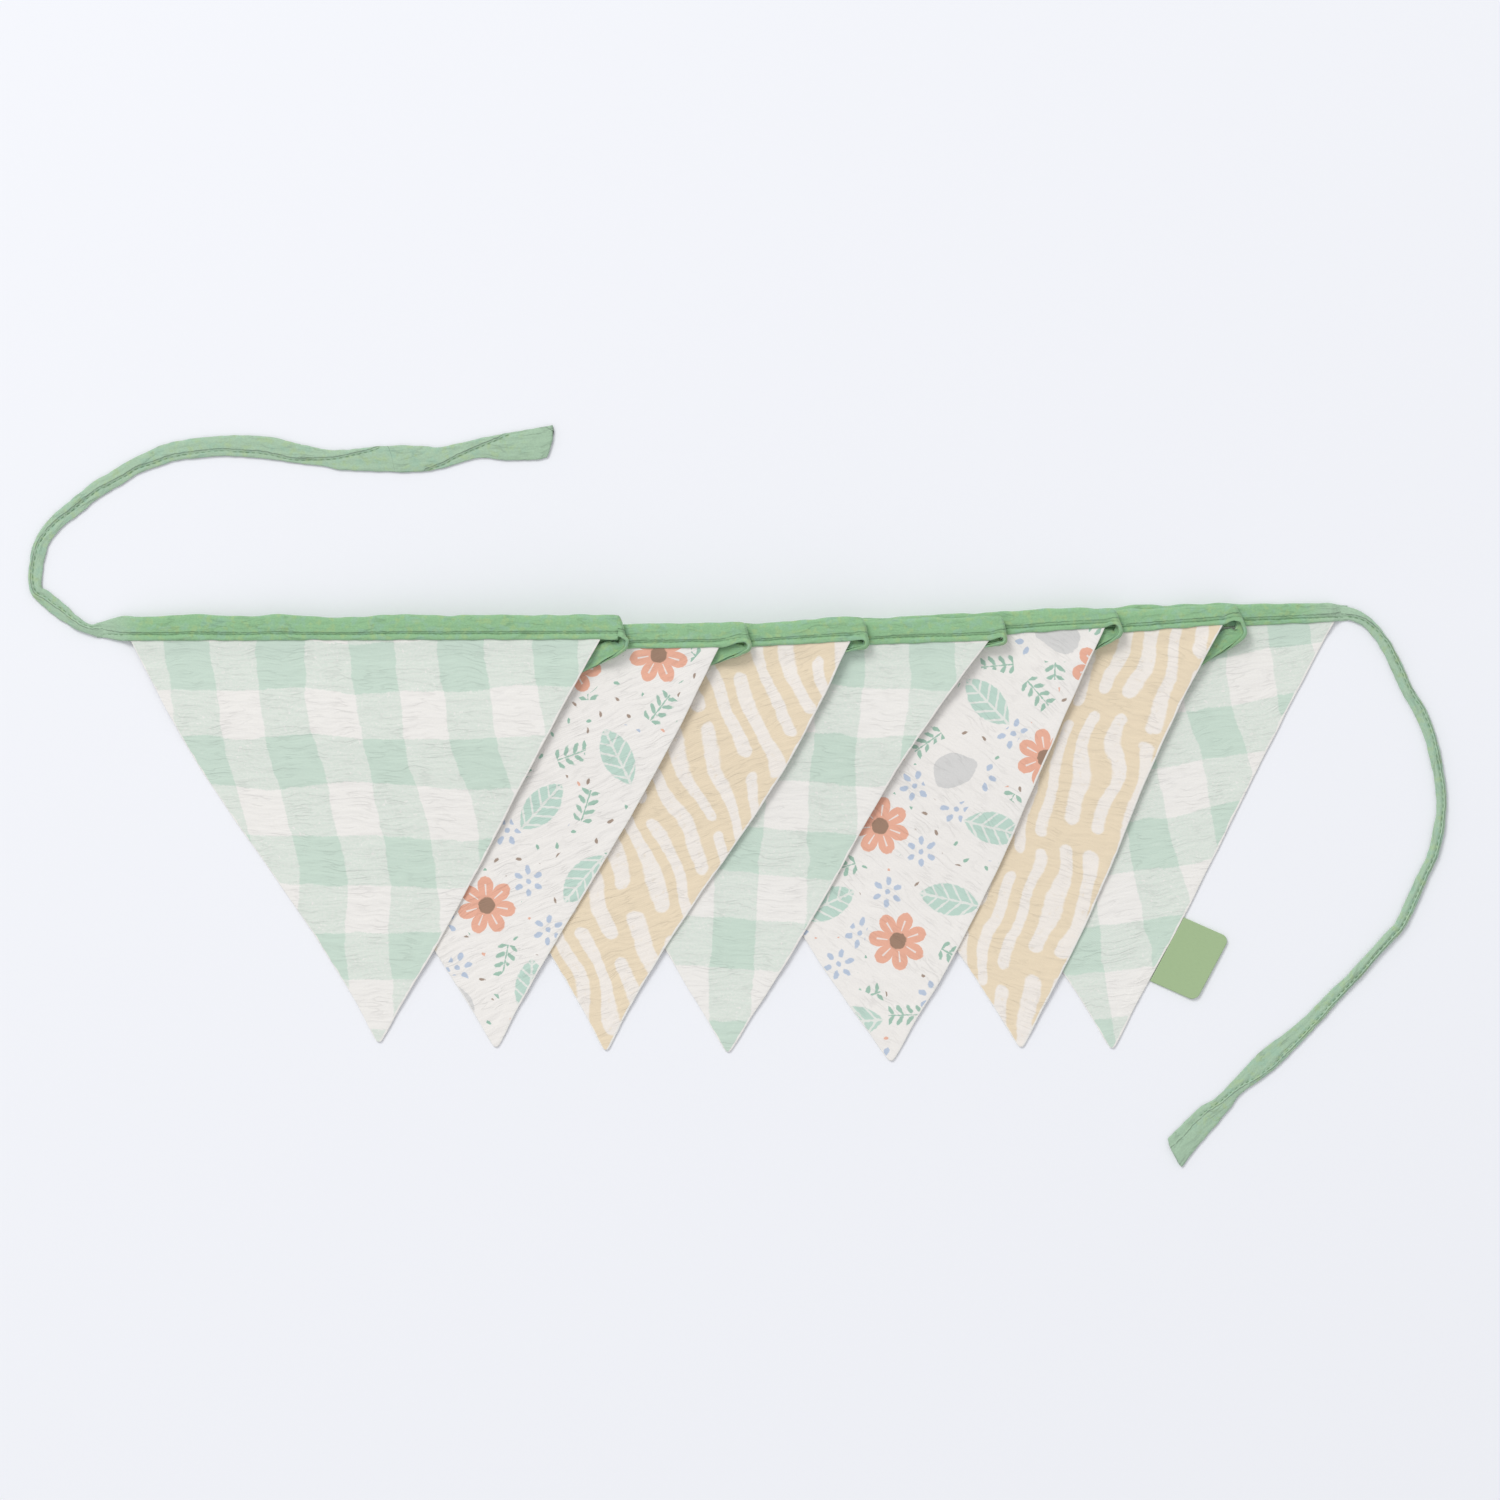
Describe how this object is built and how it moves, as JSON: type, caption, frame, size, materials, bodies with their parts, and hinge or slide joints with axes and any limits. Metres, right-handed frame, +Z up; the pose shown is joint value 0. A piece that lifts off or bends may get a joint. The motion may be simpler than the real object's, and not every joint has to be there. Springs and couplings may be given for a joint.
{
  "type": "fabric bunting",
  "caption": "Fabric bunting laid out folded: triangular muslin flags shingled along one folded green binding, with a loose tie at each end.",
  "frame": {"origin": "centre of the bunting's box without its ties, on the surface it lies on", "axes": "+X along the row of flags towards the last one, +Y from the tips towards the headings, +Z up from the surface"},
  "size_m": [0.6095, 0.3128, 0.0191],
  "materials": {
    "check_muslin": "sage and off-white woven check, crinkled muslin",
    "print_muslin": "off-white crinkled muslin with a small coloured print",
    "stripe_muslin": "beige crinkled muslin with cream strokes",
    "binding_muslin": "green crinkled muslin tape",
    "tab_ribbon": "plain green woven tab"
  },
  "bodies": {
    "root": {"flag_1": "check_muslin", "flag_2": "print_muslin", "flag_3": "stripe_muslin", "flag_4": "check_muslin", "flag_5": "print_muslin", "flag_6": "stripe_muslin", "flag_7": "check_muslin", "binding": "binding_muslin", "tie_left": "binding_muslin", "tie_right": "binding_muslin", "side_tab": "tab_ribbon"}
  },
  "joints": []
}
